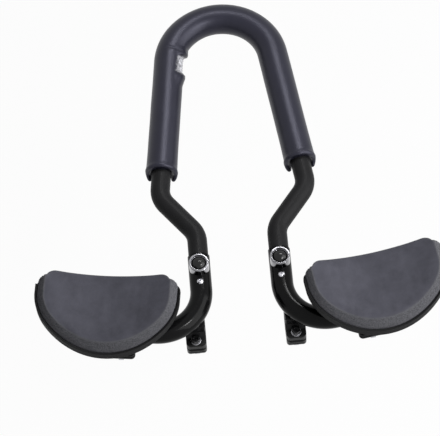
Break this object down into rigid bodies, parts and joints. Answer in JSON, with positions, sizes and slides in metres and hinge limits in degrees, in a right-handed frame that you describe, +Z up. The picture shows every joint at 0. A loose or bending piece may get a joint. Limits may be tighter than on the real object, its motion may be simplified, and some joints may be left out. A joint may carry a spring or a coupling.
{
  "type": "aero handlebar extension",
  "caption": "Clip-on aero handlebar extension: foam-covered U loop telescoping into bent arm tubes with bar clamps below and dished forearm pads on cups.",
  "frame": {"origin": "on the handlebar axis, midway between the two bar clamps", "axes": "+X along the handlebar to the rider's right, +Y forward towards the loop, +Z up, square to the plane of the loop and arms"},
  "size_m": [0.4068, 0.4067, 0.0955],
  "materials": {
    "loop_satin_black": "satin black powder coat",
    "arm_gloss_black": "gloss black paint",
    "foam": "soft closed-cell foam with a smooth skin",
    "black_plastic": "moulded black nylon",
    "clamp_black": "semi-gloss black paint",
    "liner_rubber": "matt rubber",
    "dark_steel": "black-oxide steel, worn bright at the socket",
    "zinc_steel": "bright zinc plate",
    "chrome": "polished chrome",
    "bolt_gloss_black": "gloss black",
    "hook_loop": "black hook-and-loop tape",
    "pad_fabric": "grey knit over moulded foam"
  },
  "bodies": {
    "root": {"foam_grip": "foam", "left_adjuster_bolt": "bolt_gloss_black", "left_adjuster_ferrule": "chrome", "left_adjuster_nut": "chrome", "left_adjuster_seat": "chrome", "left_arm": "arm_gloss_black", "left_arm_plug": "black_plastic", "left_bracket": "black_plastic", "left_bracket_bolt": "zinc_steel", "left_bracket_nut": "zinc_steel", "left_bracket_washer": "zinc_steel", "left_clamp_bolts": "dark_steel", "left_clamp_cap": "clamp_black", "left_clamp_nuts": "zinc_steel", "left_clamp_saddle": "clamp_black", "left_clamp_washers": "zinc_steel", "left_cup": "black_plastic", "left_cup_screws": "zinc_steel", "left_hook_strip": "hook_loop", "left_liner_lower": "liner_rubber", "left_liner_upper": "liner_rubber", "left_lock_screw": "zinc_steel", "left_pad": "pad_fabric", "loop_tube": "loop_satin_black", "right_adjuster_bolt": "bolt_gloss_black", "right_adjuster_ferrule": "chrome", "right_adjuster_nut": "chrome", "right_adjuster_seat": "chrome", "right_arm": "arm_gloss_black", "right_arm_plug": "black_plastic", "right_bracket": "black_plastic", "right_bracket_bolt": "zinc_steel", "right_bracket_nut": "zinc_steel", "right_bracket_washer": "zinc_steel", "right_clamp_bolts": "dark_steel", "right_clamp_cap": "clamp_black", "right_clamp_nuts": "zinc_steel", "right_clamp_saddle": "clamp_black", "right_clamp_washers": "zinc_steel", "right_cup": "black_plastic", "right_cup_screws": "zinc_steel", "right_hook_strip": "hook_loop", "right_liner_lower": "liner_rubber", "right_liner_upper": "liner_rubber", "right_lock_screw": "zinc_steel", "right_pad": "pad_fabric"}
  },
  "joints": []
}
